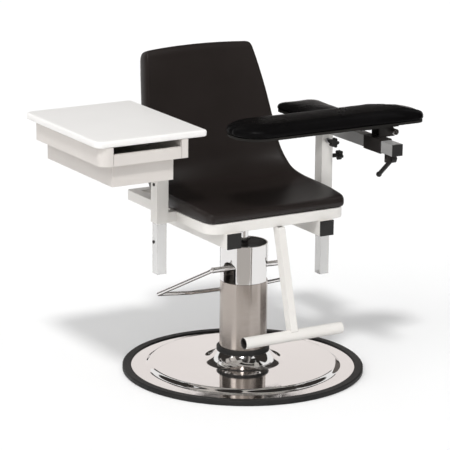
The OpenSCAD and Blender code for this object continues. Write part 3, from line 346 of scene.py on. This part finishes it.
def shellRing(s, along):
    last = len(shellRows) - 1
    row = rowAt(shellRows, along * last)
    y0, z0 = shellMid(s, rowAt(shellRows, max(0.0, along - s["slopeStep"]) * last))
    y1, z1 = shellMid(s, rowAt(shellRows, min(1.0, along + s["slopeStep"]) * last))
    reach = math.hypot(y1 - y0, z1 - z0)
    ahead = ((y1 - y0) / reach, (z1 - z0) / reach)
    y, z = shellMid(s, row)
    half = row[2] * s["width"] / 2
    thick = row[3] * s["thickness"]
    hollow = row[4] * s["hollow"]
    under = max(0.0, hollow - row[5] * s["edge"])
    flat = 1 - s["edgeShare"]

    def at(across, height):
        rise = s["arch"] * along ** s["archPower"] * (1 - across * across)
        return (half * across, s["front"] + y - ahead[1] * height + ahead[0] * rise,
                s["under"] + z + ahead[0] * height + ahead[1] * rise)

    def top(across):
        return hollow * abs(across) ** s["hollowPower"] + thick / 2

    def bottom(across):
        return under * abs(across) ** s["hollowPower"] - thick / 2

    def edge(side, steps):
        reachPower, liftPower = s["edgePowers"]
        ring = []
        for k in steps:
            angle = math.pi * (0.5 - k / s["edgeSteps"])
            across = flat + s["edgeShare"] * math.cos(angle) ** reachPower
            mid = (top(across) + bottom(across)) / 2
            lift = math.copysign(abs(math.sin(angle)) ** liftPower, math.sin(angle))
            ring.append(at(side * across, mid + lift * (top(across) - bottom(across)) / 2))
        return ring

    n = s["acrossSteps"]
    return ([at(flat * (2 * k / n - 1), top(flat * (2 * k / n - 1))) for k in range(n + 1)]
            + edge(1, range(1, s["edgeSteps"]))
            + [at(flat * (1 - 2 * k / n), bottom(flat * (1 - 2 * k / n))) for k in range(n + 1)]
            + edge(-1, range(s["edgeSteps"] - 1, 0, -1)))


shellSteps = shellPiece["alongSteps"]
shellRings = [shellRing(shellPiece, k / shellSteps) for k in range(shellSteps + 1)]
addPiece("seatShell", *skinOver(shellRings), "shell_plastic", "seat", "seat_shell", shellPiece["sharp"])
print("seat shell moulded")


# cushions of the arms: each row is the inset as a share of the half depth, and the height as a share
padRows = [[0.06, 0], [0.02, 0.06], [0, 0.23], [0, 0.43], [0.02, 0.61], [0.065, 0.76],
           [0.15, 0.87], [0.26, 0.94], [0.38, 0.98], [0.5, 1]]
padRowSteps = 4
closingShares = (0.25, 0.5, 0.75, 0.93)
leastCornerShare = 0.12


# one level of a rounded plan; pull draws the sides in between the corners
def padRing(s, inset, pull):
    width, depth = s["size"]
    r = [max(c - inset, c * leastCornerShare) for c in s["corners"]]
    e = [inset + c for c in r]
    centres = [(width - e[0], e[0]), (width - e[1], depth - e[1]), (e[2], depth - e[2]), (e[3], e[3])]
    outward = [(1, 0), (0, 1), (-1, 0), (0, -1)]
    ring = []
    for k in range(4):
        cx, cy = centres[k]
        for i in range(s["cornerSteps"] + 1):
            a = math.radians(90 * (k - 1) + 90 * i / s["cornerSteps"])
            ring.append((cx + r[k] * math.cos(a), cy + r[k] * math.sin(a)))
        end = ring[-1]
        nx, ny = centres[(k + 1) % 4]
        a = math.radians(90 * k)
        start = (nx + r[(k + 1) % 4] * math.cos(a), ny + r[(k + 1) % 4] * math.sin(a))
        for i in range(1, s["sideSteps"]):
            u = i / s["sideSteps"]
            draw = pull * math.sin(math.pi * u)
            ring.append((end[0] + (start[0] - end[0]) * u - outward[k][0] * draw,
                         end[1] + (start[1] - end[1]) * u - outward[k][1] * draw))
    return ring


def padRings(s):
    width, depth = s["size"]
    rings = []
    steps = padRowSteps * (len(padRows) - 1)
    for i in range(steps + 1):
        inset, height = rowAt(padRows, i / padRowSteps)
        ring = padRing(s, max(0.0, inset) * depth / 2 + s["shrink"], s["pull"] * (1 - inset))
        rings.append([(x, y, min(height, 1.0) * (s["height"] - s["shrink"])) for x, y in ring])
    last = rings[-1]
    for share in closingShares:
        closer = []
        for x, y, z in last:
            cx = min(max(x, depth / 2), width - depth / 2)
            rise = s["crown"] * math.sin(math.pi * share / 2)
            closer.append((x + (cx - x) * share, y + (depth / 2 - y) * share, z + rise))
        rings.append(closer)
    return rings


padMaking = {"pull": 2.5 * mm, "shrink": 1.5 * mm, "voxel": 4 * mm, "heldHeight": 4 * mm, "pressure": 4.0,
             "frames": 20, "cap": 4 * mm, "calm": 5, "quality": 6, "mass": 0.25, "stretch": 30, "bend": 6,
             "sharp": 60.0}
flipPad = {"size": (524 * mm, 144 * mm), "corners": [30 * mm, 102 * mm, 64 * mm, 68 * mm], "height": 27 * mm,
           "crown": 0.6 * mm, "cornerSteps": 16, "sideSteps": 22, **padMaking}
restPad = {"size": (203 * mm, 130 * mm), "corners": [32 * mm] * 4, "height": 18 * mm,
           "crown": 0.5 * mm, "cornerSteps": 12, "sideSteps": 14, **padMaking}


def bakedMesh(piece):
    bpy.context.view_layer.update()
    shown = piece.evaluated_get(bpy.context.evaluated_depsgraph_get())
    mesh = bpy.data.meshes.new_from_object(shown)
    piece.modifiers.clear()
    piece.data = mesh


# the cover is filled from inside while its underside stays on the board
def swell(piece, s):
    remesh = piece.modifiers.new("evenSkin", "REMESH")
    remesh.mode = "VOXEL"
    remesh.voxel_size = s["voxel"]
    bakedMesh(piece)
    start = [v.co.copy() for v in piece.data.vertices]
    floorZ = min(p.z for p in start) + s["heldHeight"]
    held = piece.vertex_groups.new(name="held")
    held.add([i for i, p in enumerate(start) if p.z < floorZ], 1.0, "REPLACE")
    cloth = piece.modifiers.new("filling", "CLOTH")
    cloth.settings.quality = s["quality"]
    cloth.settings.mass = s["mass"]
    cloth.settings.tension_stiffness = s["stretch"]
    cloth.settings.compression_stiffness = s["stretch"]
    cloth.settings.bending_stiffness = s["bend"]
    cloth.settings.vertex_group_mass = "held"
    cloth.settings.use_pressure = True
    cloth.settings.uniform_pressure_force = s["pressure"]
    cloth.settings.effector_weights.gravity = 0.0
    cloth.collision_settings.use_collision = False
    for step in range(1, s["frames"] + 1):
        bpy.context.scene.frame_set(step)
    shown = piece.evaluated_get(bpy.context.evaluated_depsgraph_get()).data
    moved = [v.co.copy() for v in shown.vertices]
    piece.modifiers.clear()
    piece.vertex_groups.clear()
    ways = [b - a for a, b in zip(start, moved)]
    for _ in range(s["calm"]):    # neighbours share their movement, which evens out the lumps
        sums, counts = [w.copy() for w in ways], [1] * len(ways)
        for edge in piece.data.edges:
            i, j = edge.vertices
            sums[i] += ways[j]
            sums[j] += ways[i]
            counts[i] += 1
            counts[j] += 1
        ways = [w / c for w, c in zip(sums, counts)]
    for v, a, way in zip(piece.data.vertices, start, ways):
        if way.length > s["cap"]:
            way = way * (s["cap"] / way.length)
        v.co = a + way
    bpy.context.scene.frame_set(1)
    finer = piece.modifiers.new("finer", "SUBSURF")
    finer.levels = 1
    bakedMesh(piece)
    for face in piece.data.polygons:
        face.use_smooth = True
    print(piece.name, "swelled")


def addCushion(name, s, body, node, lengthways=False):
    low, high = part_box(node)
    points, faces = skinOver(padRings(s))
    if lengthways:
        points = [(low[0] + y, high[1] - x, low[2] + z) for x, y, z in points]
    else:
        points = [(low[0] + x, low[1] + y, low[2] + z) for x, y, z in points]
    piece = addPiece(name, points, faces, "vinyl", body, node, s["sharp"])
    swell(piece, s)


addCushion("flipCushion", flipPad, "flip_arm", "flip_pad")
addCushion("restCushion", restPad, "arm", "armrest_pad", True)
print("cushions made")


# polished cover of the base, turned from its section: a step with a soft shoulder and a flared foot
coverPiece = {"outer": 285 * mm, "edgeZ": 10 * mm, "stepR": 249 * mm, "slope": 16 * mm, "ringZ": 12 * mm,
              "rise": 10 * mm, "bellR": 113 * mm, "bellFoot": 3 * mm, "neckR": 67 * mm, "top": 51 * mm,
              "bore": 61 * mm, "sheet": 1.5 * mm, "flarePower": 2.4, "stepRows": 26, "bellRows": 40,
              "turns": 180, "sharp": 32.0}


def coverSection(s):
    plateau = s["ringZ"] + s["rise"]
    foot = plateau + s["bellFoot"]
    section = [(s["outer"], s["edgeZ"])]
    for k in range(s["stepRows"] + 1):
        u = k / s["stepRows"]
        section.append((s["stepR"] - s["slope"] * u,
                        s["ringZ"] + s["rise"] * (1 - math.cos(math.pi * u)) / 2))
    for k in range(s["bellRows"] + 1):
        u = k / s["bellRows"]
        section.append((s["bellR"] + (s["neckR"] - s["bellR"]) * u,
                        foot + (s["top"] - foot) * u ** s["flarePower"]))
    section.append((s["bore"], s["top"]))
    return section + [(r, z - s["sheet"]) for r, z in reversed(section)]


def turnedSkin(section, turns):
    rings = [[(r * math.cos(2 * math.pi * k / turns), r * math.sin(2 * math.pi * k / turns), z)
              for r, z in section] for k in range(turns)]
    count = len(section)
    points = [p for ring in rings for p in ring]
    faces = [(i * count + j, ((i + 1) % turns) * count + j, ((i + 1) % turns) * count + (j + 1) % count,
              i * count + (j + 1) % count) for i in range(turns) for j in range(count)]
    return points, faces


addPiece("baseCover", *turnedSkin(coverSection(coverPiece), coverPiece["turns"]), "chrome", "base",
         "base_cover", coverPiece["sharp"])
print("base cover turned")


# table board with its rounded edge
boardPiece = {"edge": 5.6 * mm, "farCorner": 22 * mm, "nearCorner": 7 * mm, "edgeSteps": 6,
              "cornerSteps": 12, "sideSteps": 2, "sharp": 30.0}


def boardRings(s, width, depth, thick):
    plan = {**s, "size": (width, depth),
            "corners": [s["nearCorner"], s["nearCorner"], s["farCorner"], s["farCorner"]]}
    rings = []
    for side in (0, 1):
        for k in range(s["edgeSteps"] + 1):
            a = math.pi / 2 * (k if side == 0 else s["edgeSteps"] - k) / s["edgeSteps"]
            inset = s["edge"] * (1 - math.sin(a))
            height = s["edge"] * (1 - math.cos(a))
            z = height if side == 0 else thick - height
            rings.append([(x, y, z) for x, y in padRing(plan, inset, 0.0)])
    return rings


boardLow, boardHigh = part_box("table_top")
points, faces = skinOver(boardRings(boardPiece, *(boardHigh[i] - boardLow[i] for i in range(3))))
points = [(boardLow[0] + x, boardLow[1] + y, boardLow[2] + z) for x, y, z in points]
addPiece("tableBoard", points, faces, "laminate", "table", "table_top", boardPiece["sharp"])
print("table board made")


# light: even room, a soft key from the camera's side and a wide fill from the left
lighting = {"world": 0.56, "floorColor": (0.93, 0.93, 0.93), "floorLift": 0.02, "floorSize": 30.0,
            "floorRough": 0.8}
sunReach = 4.0
suns = [
    {"name": "keyLight", "turn": 236.0, "height": 55.0, "strength": 1.52, "angle": 7.0},
    {"name": "fillLight", "turn": 196.0, "height": 36.0, "strength": 0.72, "angle": 45.0},
]


# one strength for what is looked at, straight or by reflection, and another for the light it gives
def whiteForEye(tree, plain, eye):
    path = tree.nodes.new("ShaderNodeLightPath").outputs
    straight = mathNode(tree, "MAXIMUM", path["Is Camera Ray"], path["Is Glossy Ray"])
    direct = mathNode(tree, "MAXIMUM", straight, path["Is Transmission Ray"])
    return spread(tree, direct, plain, eye, 0.0, 1.0)


def addWorld(s):
    world = bpy.data.worlds.new("paleRoom")
    bpy.context.scene.world = world
    world.use_nodes = True
    back = world.node_tree.nodes["Background"]
    back.inputs["Color"].default_value = (1.0, 1.0, 1.0, 1.0)
    world.node_tree.links.new(whiteForEye(world.node_tree, s["world"], 1.0), back.inputs["Strength"])


def addSun(s):
    data = bpy.data.lights.new(s["name"], "SUN")
    data.energy = s["strength"]
    data.angle = math.radians(s["angle"])
    lamp = bpy.data.objects.new(s["name"], data)
    bpy.context.scene.collection.objects.link(lamp)
    turn, height = math.radians(s["turn"]), math.radians(s["height"])
    away = Vector((math.cos(turn) * math.cos(height), math.sin(turn) * math.cos(height), math.sin(height)))
    facing = away.to_track_quat("Z", "Y").to_matrix().to_4x4()
    lamp.matrix_world = Matrix.Translation(away * sunReach) @ facing


def square(half, z):
    return [(-half, -half, z), (half, -half, z), (half, half, z), (-half, half, z)]


def addFloor(s):
    half = s["floorSize"] / 2
    mesh = bpy.data.meshes.new("floor")
    mesh.from_pydata(square(half, 0.0), [], [(0, 1, 2, 3)])
    floor = bpy.data.objects.new("floor", mesh)
    bpy.context.scene.collection.objects.link(floor)
    mat, tree, skin = freshTree("paleFloor")
    skin.inputs["Base Color"].default_value = (*s["floorColor"], 1.0)
    skin.inputs["Roughness"].default_value = s["floorRough"]
    skin.inputs["Specular IOR Level"].default_value = 0.0
    skin.inputs["Emission Color"].default_value = (1.0, 1.0, 1.0, 1.0)
    tree.links.new(whiteForEye(tree, 0.0, s["floorLift"]), skin.inputs["Emission Strength"])
    mesh.materials.append(mat)


# cards round and over the chair that only glossy reflections see, so they show in the bright metal:
# turn and reach place them, wide is their angle as seen from the column
cards = [
    {"name": "cardCamera", "turn": 238.0, "wide": 64.0, "reach": 0.78, "low": 0.0, "high": 0.75,
     "tone": (0.50, 0.475, 0.45)},
    {"name": "cardCameraHigh", "turn": 238.0, "wide": 150.0, "reach": 1.1, "low": 0.95, "high": 2.3,
     "tone": (0.06, 0.054, 0.05)},
    {"name": "cardTube", "turn": 350.0, "wide": 52.0, "reach": 0.42, "low": 0.0, "high": 0.11,
     "tone": (0.14, 0.125, 0.115)},
    {"name": "cardBack", "turn": 62.0, "wide": 78.0, "reach": 1.5, "low": 0.0, "high": 0.8,
     "tone": (0.93, 0.88, 0.86)},
    {"name": "cardBackHigh", "turn": 62.0, "wide": 78.0, "reach": 1.5, "low": 0.8, "high": 2.2,
     "tone": (0.05, 0.046, 0.043)},
    {"name": "cardLeft", "turn": 149.0, "wide": 62.0, "reach": 1.2, "low": 0.3, "high": 1.6,
     "tone": (0.04, 0.036, 0.033)},
    {"name": "cardRight", "turn": 329.0, "wide": 62.0, "reach": 1.2, "low": 0.3, "high": 1.6,
     "tone": (0.04, 0.036, 0.033)},
    {"name": "cardFoot", "turn": 62.0, "wide": 40.0, "reach": 0.9, "low": 0.0, "high": 0.15,
     "tone": (0.04, 0.035, 0.03)},
]
ceilingCard = {"name": "cardTop", "half": 1.5, "height": 2.3, "tone": (0.03, 0.028, 0.026)}


def addCard(name, corners, tone):
    mat = bpy.data.materials.new(name + "Tone")
    mat.use_nodes = True
    tree = mat.node_tree
    tree.nodes.clear()
    out = tree.nodes.new("ShaderNodeOutputMaterial")
    glow = tree.nodes.new("ShaderNodeEmission")
    glow.inputs["Color"].default_value = (*tone, 1.0)
    tree.links.new(glow.outputs["Emission"], out.inputs["Surface"])
    mesh = bpy.data.meshes.new(name)
    mesh.from_pydata(corners, [], [(0, 1, 2, 3)])
    mesh.materials.append(mat)
    card = bpy.data.objects.new(name, mesh)
    bpy.context.scene.collection.objects.link(card)
    card.visible_camera = False
    card.visible_diffuse = False
    card.visible_shadow = False


def addCards(rows, top):
    for row in rows:
        turn = math.radians(row["turn"])
        half = row["reach"] * math.tan(math.radians(row["wide"] / 2))
        mid = Vector((math.cos(turn), math.sin(turn), 0)) * row["reach"]
        aside = Vector((-math.sin(turn), math.cos(turn), 0)) * half
        ends = ((-1, row["low"]), (1, row["low"]), (1, row["high"]), (-1, row["high"]))
        addCard(row["name"], [(*(mid + aside * k).xy, z) for k, z in ends], row["tone"])
    addCard(top["name"], square(top["half"], top["height"]), top["tone"])


addWorld(lighting)
for sun in suns:
    addSun(sun)
addFloor(lighting)
addCards(cards, ceilingCard)
bpy.context.scene.view_settings.view_transform = "Standard"
print("lights set")
